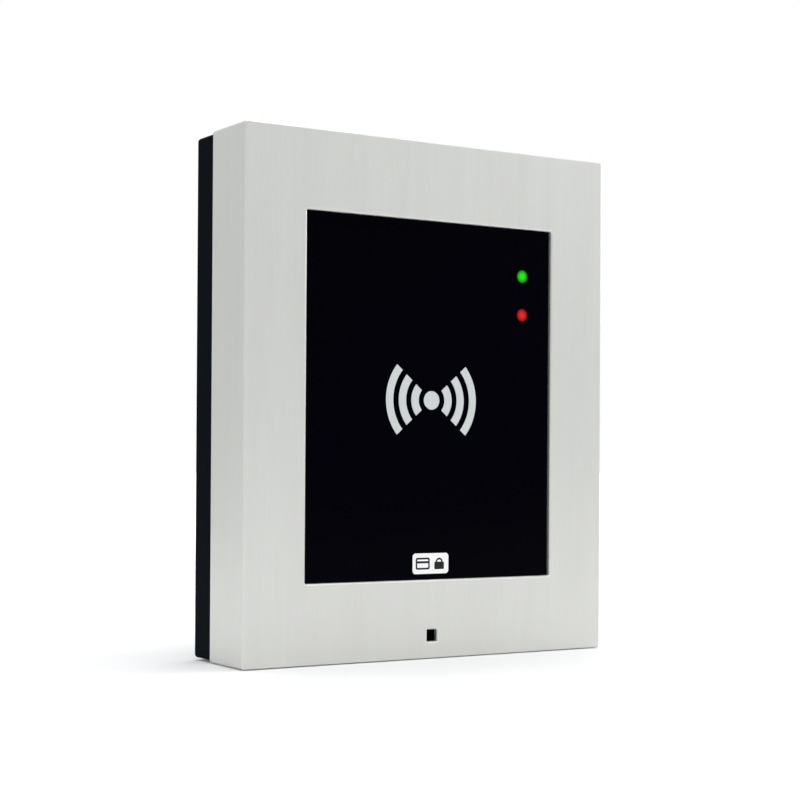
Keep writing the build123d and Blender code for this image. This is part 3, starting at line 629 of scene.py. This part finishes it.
pale_ink = print_finish("pale_ink", (0.60, 0.63, 0.63), (0.66, 0.69, 0.69), 0.0)
# The badge's ink glows a little: painted light that brightens it.
badge_ink = print_finish("badge_ink", (0.86, 0.86, 0.85), (0.92, 0.92, 0.91), 0.1)
black_ink = print_finish("black_ink", (0.004, 0.004, 0.005), (0.008, 0.008, 0.009), 0.0)
dress(pale_ink, "card_symbol")
dress(badge_ink, "badge_plate")
dress(black_ink, "badge_marks")


# ---- Status lights --------------------------------------------------------------------------
# Clear coloured rods through the window, lit from behind by two chips, with a black collar
# block between the lights. A rod is brightest at its middle and dark where it meets the hole.
def lens_finish(name, middle, rim, centre, strength):
    """Lit coloured rod: brightness falls off from the rod's axis to its edge."""
    made, tree, shader = new_finish(name, rim, 0.3, 0, 0.06)
    where = shader_node(tree, "TexCoord")
    centred = shader_node(tree, "VectorMath", operation="SUBTRACT")
    centred.inputs[1].default_value = centre
    flat = shader_node(tree, "VectorMath", operation="MULTIPLY")
    flat.inputs[1].default_value = (1, 0, 1)
    off_axis = shader_node(tree, "VectorMath", operation="LENGTH")
    falls = shader_node(tree, "ValToRGB")
    falls.color_ramp.elements[0].position = 0.35
    falls.color_ramp.elements[0].color = (*middle, 1)
    falls.color_ramp.elements[1].position = 0.95
    falls.color_ramp.elements[1].color = (*rim, 1)
    scale = shader_node(tree, "Math", operation="DIVIDE")
    scale.inputs[1].default_value = 1.75 * mm
    wire(where, "Object", centred, 0)
    wire(centred, 0, flat, 0)
    wire(flat, 0, off_axis, 0)
    wire(off_axis, "Value", scale, 0)
    wire(scale, 0, falls, "Fac")
    wire(falls, "Color", shader, "Emission Color")
    shader.inputs["Emission Strength"].default_value = strength
    return made


for node, finish_name, middle, rim in (("lens_green", "lit_green", (0.018, 0.86, 0.003), (0.0, 0.09, 0.0)),
                                       ("lens_red", "lit_red", (0.78, 0.022, 0.022), (0.10, 0.0, 0.0))):
    lens_low, lens_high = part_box(node)
    dress(lens_finish(finish_name, middle, rim, tuple((lens_low + lens_high) / 2), 0.85), node)
shield_plastic = moulded_finish("shield_plastic", (0.006, 0.006, 0.006), (0.02, 0.02, 0.02), 0.6, 0.3)
dress(shield_plastic, "light_shield")
led_ceramic = moulded_finish("led_ceramic", (0.72, 0.70, 0.60), (0.8, 0.78, 0.7), 0.4, 0.5, 5000.0, 0.05,
                             0.0001)
dress(led_ceramic, "status_leds")

# ---- Module housing -------------------------------------------------------------------------
# Black glass-filled nylon frame that carries both boards behind the window.
housing_plastic = moulded_finish("housing_plastic", (0.010, 0.010, 0.011), (0.028, 0.028, 0.029), 0.52, 0.4,
                                 2600.0, 0.2)
dress(housing_plastic, "module_housing")


# ---- Antenna board --------------------------------------------------------------------------
# Glass-fibre board with green solder mask over routed tracks, a copper spiral on its front
# for the card's field, and a ferrite sheet glued to its back.
def solder_mask_finish(name, mask, track, traces):
    """Green board: routed tracks that stand up slightly under the mask, and tinned pads."""
    made, tree, shader = new_finish(name, mask, 0.32, 0, 0.5)
    where = shader_node(tree, "TexCoord")
    near = shader_node(tree, "TexVoronoi", {"Scale": traces}, distance="MANHATTAN", feature="F1")
    next_near = shader_node(tree, "TexVoronoi", {"Scale": traces}, distance="MANHATTAN", feature="F2")
    apart = shader_node(tree, "Math", operation="SUBTRACT")
    is_track = shader_node(tree, "MapRange",
                           {"From Min": 0.06, "From Max": 0.09, "To Min": 1.0, "To Max": 0.0})
    hole = shader_node(tree, "MapRange", {"From Min": 0.10, "From Max": 0.12, "To Min": 1.0, "To Max": 0.0})
    speckle = shader_node(tree, "TexNoise", {"Scale": 1500.0, "Detail": 2.0})
    depth_tone = shader_node(tree, "Mix", data_type="RGBA")
    depth_tone.inputs[6].default_value = (*[0.85 * part for part in mask], 1)
    depth_tone.inputs[7].default_value = (*[1.15 * part for part in mask], 1)
    tracks = shader_node(tree, "Mix", data_type="RGBA")
    tracks.inputs[7].default_value = (*track, 1)
    pads = shader_node(tree, "Mix", data_type="RGBA")
    pads.inputs[7].default_value = (0.75, 0.72, 0.62, 1)
    skin = shader_node(tree, "Bump", {"Strength": 0.5, "Distance": 0.00004})
    wire(where, "Object", near, "Vector")
    wire(where, "Object", next_near, "Vector")
    wire(where, "Object", speckle, "Vector")
    wire(next_near, "Distance", apart, 0)
    wire(near, "Distance", apart, 1)
    wire(apart, 0, is_track, "Value")
    wire(near, "Distance", hole, "Value")
    wire(speckle, "Fac", depth_tone, 0)
    wire(depth_tone, 2, tracks, 6)
    wire(is_track, "Result", tracks, 0)
    wire(tracks, 2, pads, 6)
    wire(hole, "Result", pads, 0)
    wire(pads, 2, shader, "Base Color")
    wire(hole, "Result", shader, "Metallic")
    wire(is_track, "Result", skin, "Height")
    wire(skin, "Normal", shader, "Normal")
    return made


antenna_mask = solder_mask_finish("antenna_mask", (0.008, 0.085, 0.035), (0.012, 0.13, 0.05), 140.0)
dress(antenna_mask, "antenna_board")
etched_copper = plain_metal_finish("etched_copper", (0.60, 0.27, 0.13), (0.83, 0.43, 0.24), 0.35, 4000.0)
dress(etched_copper, "antenna_coil")
ferrite_sheet = moulded_finish("ferrite_sheet", (0.035, 0.036, 0.040), (0.07, 0.07, 0.075), 0.4, 0.5,
                               1200.0, 0.3)
dress(ferrite_sheet, "ferrite_sheet")
connector_nylon = moulded_finish("connector_nylon", (0.012, 0.012, 0.012), (0.03, 0.03, 0.03), 0.4, 0.4)
dress(connector_nylon, "board_link")

# ---- Main board -----------------------------------------------------------------------------
# The controller board, face to the wall, clamped between the housing's posts and the cover.
main_mask = solder_mask_finish("main_mask", (0.006, 0.075, 0.03), (0.010, 0.12, 0.045), 330.0)
dress(main_mask, "main_board")
board_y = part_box("main_board")[1].y


# ---- Chips ----------------------------------------------------------------------------------
# Epoxy-moulded circuits with tinned legs bent like gull wings, and a dimple by the first leg.
# The radio chip has no legs, only pads under its edge.
chip_epoxy = moulded_finish("chip_epoxy", (0.014, 0.014, 0.015), (0.035, 0.035, 0.036), 0.55, 0.4, 6000.0,
                            0.2, 0.0001)
tinned_legs = plain_metal_finish("tinned_legs", (0.55, 0.55, 0.54), (0.76, 0.76, 0.75), 0.3)


def model_leg(name, wide, drop, reach):
    """Gull-wing leg along +X from its root at the origin, falling to z = -drop."""
    leg = start_block(name, (0.1 * reach, 0, 0), (0.2 * reach, wide, 0.12 * mm))
    pick_faces(leg, lambda c, n: n.x > 0.9)
    draw_out((0.2 * reach, 0, -0.15 * drop))
    draw_out((0.15 * reach, 0, -0.7 * drop))
    draw_out((0.15 * reach, 0, -0.15 * drop))
    draw_out((0.3 * reach, 0, 0))
    settle(leg, tinned_legs, 60)
    return leg


def model_chip_body(name, wide, high, tall):
    """Moulded chip body on the board, seen from the wall, with a parting line and a dimple."""
    chip = start_block(name, (0, 0, 0.55 * tall), (wide, high, 0.9 * tall))
    pick_edges(chip, lambda a, b: abs(a.z - b.z) > 0.5 * tall)
    bpy.ops.mesh.bevel(offset=0.25 * mm, segments=2)
    bpy.ops.mesh.select_all(action="SELECT")
    bpy.ops.mesh.bisect(plane_co=(0, 0, 0.5 * tall), plane_no=(0, 0, 1))
    pick_faces(chip, lambda c, n: abs(n.z) > 0.9)
    bpy.ops.transform.resize(value=(0.94, 0.94, 1))
    bpy.ops.object.mode_set(mode="OBJECT")
    carve(chip, start_rod("dimple", 20, 0.35 * mm, 0.2 * mm, (0.36 * wide, 0.36 * high, tall)))
    settle(chip, chip_epoxy, 25)
    return chip


def plant(pattern, place, turn):
    """One more of a pattern, with its own mesh, at a place and a turn."""
    bpy.ops.object.select_all(action="DESELECT")
    pattern.select_set(True)
    bpy.context.view_layer.objects.active = pattern
    bpy.ops.object.duplicate(linked=False)
    made = bpy.context.object
    made.location = place
    made.rotation_euler = turn
    return made


def gather(first, others):
    """Join the others into the first, which keeps its name."""
    bpy.ops.object.select_all(action="DESELECT")
    for part in others + [first]:
        part.select_set(True)
    bpy.context.view_layer.objects.active = first
    if others:
        bpy.ops.object.join()


def chip_with_legs(name, node, x_mid, z_mid, wide, high, tall, legs_x, legs_z, pitch):
    """Chip body with rows of legs on two or on four sides, joined into one piece on the board."""
    chip = model_chip_body(name, wide, high, tall)
    leg = model_leg(name + "_leg", 0.5 * pitch, 0.45 * tall, 1.0 * mm)
    rows = []
    for count, half, turn in ((legs_z, wide / 2, 0.0), (legs_z, wide / 2, math.pi),
                              (legs_x, high / 2, math.pi / 2), (legs_x, high / 2, -math.pi / 2)):
        for i in range(count):
            along = (i - (count - 1) / 2) * pitch
            place = Vector((half - 0.06 * mm, along, 0.5 * tall))
            place = Vector((place.x * math.cos(turn) - place.y * math.sin(turn),
                            place.x * math.sin(turn) + place.y * math.cos(turn), place.z))
            rows.append(plant(leg, place, (0, 0, turn)))
    bpy.data.objects.remove(leg)
    gather(chip, rows)
    chip.location = (x_mid, board_y, z_mid)
    chip.rotation_euler = (math.radians(-90), 0, 0)
    bpy.ops.object.transform_apply(location=True, rotation=True, scale=True)
    bpy.ops.object.select_all(action="DESELECT")
    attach(chip, "front")
    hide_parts(node)


chip_with_legs("controller", "controller_chip", -16 * mm, 10 * mm, 10.4 * mm, 10.4 * mm, 1.4 * mm, 12, 12,
               0.8 * mm)
chip_with_legs("radio", "radio_chip", -2 * mm, 12 * mm, 7.0 * mm, 7.0 * mm, 0.9 * mm, 0, 0, 0.5 * mm)
chip_with_legs("memory_upper", "memory_chips", -24 * mm, -14 * mm, 4.6 * mm, 4.9 * mm, 1.2 * mm, 0, 4,
               1.2 * mm)
chip_with_legs("memory_lower", "memory_chips", -26 * mm, -38 * mm, 4.6 * mm, 4.9 * mm, 1.2 * mm, 0, 4,
               1.2 * mm)

# ---- Crystals, inductor and capacitors ------------------------------------------------------
# Seam-welded crystal cans, a wound power choke between two ferrite plates, and electrolytic
# cans with a rolled groove above a black base and a cross of vents on the end.
bright_can = plain_metal_finish("bright_can", (0.60, 0.60, 0.60), (0.83, 0.83, 0.82), 0.22)
to_wall = (math.radians(-90), 0, 0)
for node_x, node_z, name in ((7, 20, "crystal_upper"), (-26, 0, "crystal_side")):
    crystal = start_block(name, (0, 0, 0.1 * mm), (5.0 * mm, 3.2 * mm, 0.2 * mm))
    pick_edges(crystal, lambda a, b: abs(a.z - b.z) > 0.1 * mm)
    bpy.ops.mesh.bevel(offset=0.5 * mm, segments=3)
    pick_faces(crystal, lambda c, n: n.z > 0.9)
    bpy.ops.mesh.inset(thickness=0.35 * mm)
    draw_out((0, 0, 0.75 * mm))
    bpy.ops.mesh.inset(thickness=0.15 * mm)
    bpy.ops.transform.translate(value=(0, 0, 0.12 * mm))
    bpy.ops.object.mode_set(mode="OBJECT")
    crystal.location = (node_x * mm, board_y, node_z * mm)
    crystal.rotation_euler = to_wall
    settle(crystal, bright_can, 30)
    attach(crystal, "front")
    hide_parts("crystals")

choke_x = 26.5 * mm
choke_z = 19.5 * mm
plate_wide = 7.0 * mm
core_wide = 4.6 * mm
choke = start_block("choke_core", (0, 0, 0.4 * mm), (plate_wide, plate_wide, 0.8 * mm))
pick_edges(choke, lambda a, b: abs(a.z - b.z) > 0.5 * mm)
bpy.ops.mesh.bevel(offset=1.6 * mm, segments=4)
pick_faces(choke, lambda c, n: n.z > 0.9)
bpy.ops.mesh.inset(thickness=(plate_wide - core_wide) / 2)
draw_out((0, 0, 1.5 * mm))
draw_out((0, 0, 0.05 * mm), plate_wide / core_wide, (0, 0, 2.35 * mm))
draw_out((0, 0, 0.7 * mm))
bpy.ops.object.mode_set(mode="OBJECT")
choke.location = (choke_x, board_y, choke_z)
choke.rotation_euler = to_wall
settle(choke, ferrite_sheet, 30)
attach(choke, "front")
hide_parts("power_inductor")

bpy.ops.object.select_all(action="DESELECT")
wire_radius = 0.14 * mm
bpy.ops.mesh.primitive_torus_add(major_radius=2.55 * mm, minor_radius=wire_radius, major_segments=32,
                                 minor_segments=8)
winding = bpy.context.object
winding.name = "choke_winding"
stack = winding.modifiers.new("stack", "ARRAY")
stack.count = 5
stack.use_relative_offset = False
stack.use_constant_offset = True
stack.constant_offset_displace = (0, 0, 2 * wire_radius)
bpy.ops.object.modifier_apply(modifier="stack")
winding.location = (choke_x, board_y + 1.0 * mm, choke_z)
winding.rotation_euler = to_wall
settle(winding, etched_copper, 60)
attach(winding, "front")

groove = 0.88
can_pattern = start_rod("can_pattern", 40, 2.6 * mm, 0.5 * mm, (0, 0, 0.85 * mm))
pick_faces(can_pattern, lambda c, n: n.z > 0.9)
draw_out((0, 0, 0.2 * mm), groove, (0, 0, 1.3 * mm))
draw_out((0, 0, 0.25 * mm))
draw_out((0, 0, 0.2 * mm), 1 / groove, (0, 0, 1.75 * mm))
draw_out((0, 0, 3.0 * mm))
draw_out((0, 0, 0.35 * mm), 0.9, (0, 0, 5.1 * mm))
bpy.ops.mesh.inset(thickness=0.3 * mm)
bpy.ops.transform.translate(value=(0, 0, -0.15 * mm))
bpy.ops.object.mode_set(mode="OBJECT")
for turn in (0.4, 0.4 + math.pi / 2):
    carve(can_pattern, start_block("vent", (0, 0, 5.0 * mm), (3.4 * mm, 0.16 * mm, 0.18 * mm), turn))
settle(can_pattern, bright_can, 30)
base_pattern = start_block("base_pattern", (0, 0, 0.3 * mm), (5.8 * mm, 5.8 * mm, 0.6 * mm))
pick_edges(base_pattern, lambda a, b: abs(a.z - b.z) > 0.3 * mm and a.x > 0)
bpy.ops.mesh.bevel(offset=1.0 * mm, segments=1)
settle(base_pattern, connector_nylon, 30)
for order, can_z in enumerate((10.0, 3.0, -4.0), 1):
    place = (27.0 * mm, board_y, can_z * mm)
    fit_copy(can_pattern, f"capacitor_can_{order}", place, to_wall, "front", "capacitors")
    fit_copy(base_pattern, f"capacitor_base_{order}", place, to_wall, "front", "capacitors")
bpy.data.objects.remove(can_pattern)
bpy.data.objects.remove(base_pattern)

# ---- Chip resistors -------------------------------------------------------------------------
# Rows of ceramic resistors soldered flat on the board. The middle is glazed black and lies a
# little lower than the two tinned ends.
resistor_glaze = moulded_finish("resistor_glaze", (0.02, 0.02, 0.022), (0.05, 0.05, 0.05), 0.3, 0.5, 5000.0,
                                0.1)
resistor_pattern = start_block("resistor_pattern", (0, 0, 0.3 * mm), (1.2 * mm, 2.0 * mm, 0.6 * mm))
bpy.ops.object.mode_set(mode="EDIT")
for cut_y in (0.62 * mm, -0.62 * mm):
    bpy.ops.mesh.select_all(action="SELECT")
    bpy.ops.mesh.bisect(plane_co=(0, cut_y, 0), plane_no=(0, 1, 0))
pick_faces(resistor_pattern, lambda c, n: abs(c.y) < 0.6 * mm and abs(n.y) < 0.5)
bpy.ops.mesh.extrude_region_move(TRANSFORM_OT_translate={"value": (0, 0, 0)})
bpy.ops.transform.resize(value=(0.9, 0.97, 0.86), center_override=(0, 0, 0.3 * mm))
settle(resistor_pattern, resistor_glaze)
resistor_pattern.data.materials.append(tinned_legs)
for face in resistor_pattern.data.polygons:
    face.material_index = 1 if abs(face.center.y) > 0.6 * mm else 0
apart = 2.4 * mm
on_side = (math.radians(-90), math.radians(90), 0)
rows = [plant(resistor_pattern, (-27.0 * mm + i * apart, board_y, 24.0 * mm), to_wall) for i in range(8)]
rows += [plant(resistor_pattern, (-30.0 * mm, board_y, 12.0 * mm - i * apart), on_side) for i in range(10)]
rows += [plant(resistor_pattern, (14.0 * mm + i * apart, board_y, -38.0 * mm), to_wall) for i in range(7)]
bpy.data.objects.remove(resistor_pattern)
resistors = rows[0]
resistors.name = "resistor_rows"
bpy.ops.object.select_all(action="DESELECT")
resistors.select_set(True)
bpy.context.view_layer.objects.active = resistors
bpy.ops.object.transform_apply(location=True, rotation=True, scale=True)
gather(resistors, rows[1:])
bpy.ops.object.select_all(action="DESELECT")
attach(resistors, "front")
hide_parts("chip_resistors")

# ---- Relay ----------------------------------------------------------------------------------
# Sealed relay that switches the door strike: a moulded case on a smaller base, with rounded
# edges and a dimple where its vent was closed after soldering.
relay_plastic = moulded_finish("relay_plastic", (0.03, 0.032, 0.036), (0.07, 0.07, 0.075), 0.35, 0.5, 4000.0,
                               0.1)
relay = start_block("relay_case", (0, 0, 2.75 * mm), (13.0 * mm, 16.0 * mm, 4.9 * mm))
pick_edges(relay, lambda a, b: abs(a.z - b.z) > mm)
bpy.ops.mesh.bevel(offset=0.6 * mm, segments=4)
pick_edges(relay, lambda a, b: a.z > 5.1 * mm and b.z > 5.1 * mm)
bpy.ops.mesh.bevel(offset=0.4 * mm, segments=4)
pick_faces(relay, lambda c, n: n.z < -0.9)
bpy.ops.mesh.inset(thickness=0.5 * mm)
draw_out((0, 0, -0.3 * mm))
bpy.ops.object.mode_set(mode="OBJECT")
carve(relay, start_rod("vent", 24, 0.7 * mm, 0.5 * mm, (4.6 * mm, 6.0 * mm, 5.2 * mm)))
relay.location = (26.0 * mm, board_y, -24.0 * mm)
relay.rotation_euler = to_wall
settle(relay, relay_plastic, 30)
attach(relay, "front")
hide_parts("relay")

# ---- Terminal block -------------------------------------------------------------------------
# Green pluggable terminals: a header soldered to the board, its tinned pins, and the plug that
# the wires are clamped in by slotted screws.
terminal_green = moulded_finish("terminal_green", (0.012, 0.17, 0.065), (0.03, 0.26, 0.11), 0.38, 0.5, 3000.0,
                                0.08, 0.00025)
dress(terminal_green, "terminal_header", "terminal_plug")
dress(tinned_legs, "header_pins")
dress(zinc_steel, "terminal_screws")

# ---- Tamper switch and reset button ---------------------------------------------------------
# The switch under the cover feels for the post on the wall box through a sprung plunger. The
# small button beside it resets the reader.
dress(connector_nylon, "tamper_switch", "reset_switch")
plunger_nylon = moulded_finish("plunger_nylon", (0.45, 0.45, 0.43), (0.6, 0.6, 0.58), 0.4, 0.5, 4000.0, 0.06)
dress(plunger_nylon, "tamper_plunger")
button_plastic = moulded_finish("button_plastic", (0.30, 0.30, 0.31), (0.42, 0.42, 0.43), 0.45, 0.4)
dress(button_plastic, "reset_cap")
spring_wire = plain_metal_finish("spring_wire", (0.50, 0.50, 0.50), (0.72, 0.72, 0.72), 0.22)
dress(spring_wire, "tamper_spring")

# ---- Module cover ---------------------------------------------------------------------------
# Rear lid of the module in the housing's plastic, held by four screws sunk in its corners.
dress(housing_plastic, "module_cover")


def fit_four_screws(name, node, shank_radius):
    """A pan screw at each corner of the node's box, driven in from the wall side."""
    low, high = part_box(node)
    pattern = model_pan_screw(name + "_pattern", head_radius, head_high, shank_radius,
                              high.y - low.y - head_high, zinc_steel)
    for side, screw_x in (("left", low.x + head_radius), ("right", high.x - head_radius)):
        for level, screw_z in (("lower", low.z + head_radius), ("upper", high.z - head_radius)):
            fit_copy(pattern, f"{name}_{side}_{level}", (screw_x, high.y - head_high, screw_z),
                     (math.radians(90), 0, 0), "front", node)
    bpy.data.objects.remove(pattern)


fit_four_screws("cover_screw", "cover_screws", 1.1 * mm)

# ---- Module clamps --------------------------------------------------------------------------
# Slotted strips of zinc-plated steel that hold the module's ears down on the frame's posts,
# with a pan-head screw at each end.
dress(zinc_steel, "module_clamps")
fit_four_screws("clamp_screw", "clamp_screws", 1.2 * mm)

# ---- Sound port -----------------------------------------------------------------------------
# Behind the square hole: a rubber boot, a fine membrane and a flat piezo sounder, whose amber
# flexible lead is plugged into the main board.
# The boot's rubber is made far darker and duller than rubber: black rubber, plus painted shade that stands
# for the dark inside the hole.
port_rubber_and_shade = moulded_finish("port_rubber_and_shade", (0.0006, 0.0006, 0.0007), (0.002, 0.002, 0.002), 0.8, 0.01,
                             1800.0, 0.3)
dress(port_rubber_and_shade, "port_boot")
membrane_cloth = moulded_finish("membrane_cloth", (0.05, 0.05, 0.052), (0.08, 0.08, 0.08), 0.8, 0.2, 9000.0,
                                0.5)
dress(membrane_cloth, "port_membrane")
dress(bright_can, "sounder")
amber_flex = moulded_finish("amber_flex", (0.42, 0.17, 0.025), (0.55, 0.25, 0.05), 0.3, 0.5, 3000.0, 0.1)
dress(amber_flex, "sounder_flex")
dress(connector_nylon, "flex_socket")

# ---- Lock screws ----------------------------------------------------------------------------
# Headless socket screws in the frame's lower bosses, turned upwards into the brass bushes.
lock_radius = 1.5 * mm
lock_root = 0.86
lock_pitch = 0.5 * mm
plain_end = 0.3 * mm
lock_low, lock_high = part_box("lock_screw_left")
lock_long = lock_high.z - lock_low.z
lock_pattern = start_rod("lock_pattern", 32, lock_root * lock_radius, plain_end, (0, 0, plain_end / 2))
pick_faces(lock_pattern, lambda c, n: n.z > 0.9)
lock_turns = int((lock_long - 0.8 * mm) / lock_pitch)
for turn in range(lock_turns):
    draw_out((0, 0, lock_pitch / 2), 1 / lock_root, (0, 0, plain_end + (turn + 0.5) * lock_pitch))
    draw_out((0, 0, lock_pitch / 2), lock_root, (0, 0, plain_end + (turn + 1) * lock_pitch))
draw_out((0, 0, lock_long - plain_end - lock_turns * lock_pitch), 0.8, (0, 0, lock_long))
bpy.ops.object.mode_set(mode="OBJECT")
carve(lock_pattern, start_rod("socket", 6, 0.85 * mm, 3.6 * mm, (0, 0, 0)))
black_steel = plain_metal_finish("black_steel", (0.09, 0.09, 0.10), (0.16, 0.16, 0.17), 0.38)
settle(lock_pattern, black_steel)
for side in ("left", "right"):
    screw_low, screw_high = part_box("lock_screw_" + side)
    fit_copy(lock_pattern, "lock_screw_thread_" + side,
             ((screw_low.x + screw_high.x) / 2, (screw_low.y + screw_high.y) / 2, screw_low.z), (0, 0, 0),
             "lock_" + side, "lock_screw_" + side)
bpy.data.objects.remove(lock_pattern)
